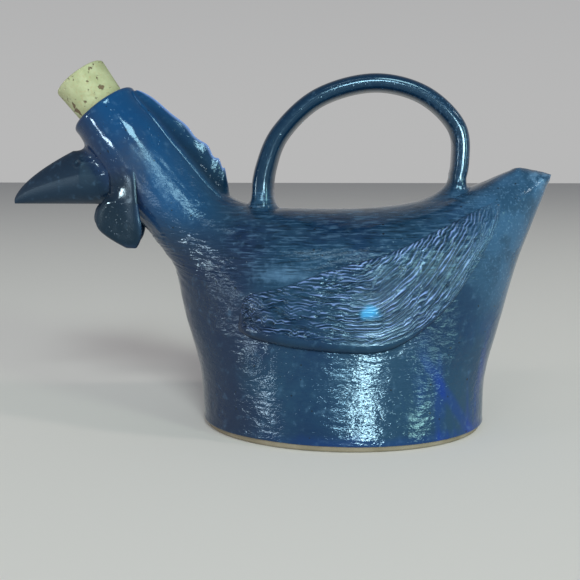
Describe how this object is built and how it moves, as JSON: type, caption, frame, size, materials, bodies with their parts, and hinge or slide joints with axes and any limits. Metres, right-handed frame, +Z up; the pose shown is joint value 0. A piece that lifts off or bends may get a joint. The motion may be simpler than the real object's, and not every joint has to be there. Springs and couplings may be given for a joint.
{
  "type": "oil dispenser",
  "caption": "Hen-shaped glazed stoneware oil bottle with an oval body, a loop handle on its back, a slanted neck, wings, comb and beak, and a cork in its mouth.",
  "frame": {"origin": "middle of the underside of the base", "axes": "+X towards the tail, -X towards the beak, +Z up, -Y the side that the picture shows"},
  "size_m": [0.2466, 0.1, 0.1663],
  "materials": {
    "blue_glaze": "gloss",
    "bare_clay": "matte",
    "cork_bark": "matte"
  },
  "bodies": {
    "pot": {"base_slab": "bare_clay", "body_wall": "blue_glaze", "neck": "blue_glaze", "comb": "blue_glaze", "beak": "blue_glaze", "wattle_near": "blue_glaze", "wattle_far": "blue_glaze", "handle": "blue_glaze", "wing_near": "blue_glaze", "wing_far": "blue_glaze"},
    "cork": {"cork_stopper": "cork_bark"}
  },
  "joints": [
    {"name": "cork_pull", "type": "slide", "parent": "pot", "child": "cork", "axis": [-0.6018, 0, 0.7986], "range_m": [0, 0.035]}
  ]
}
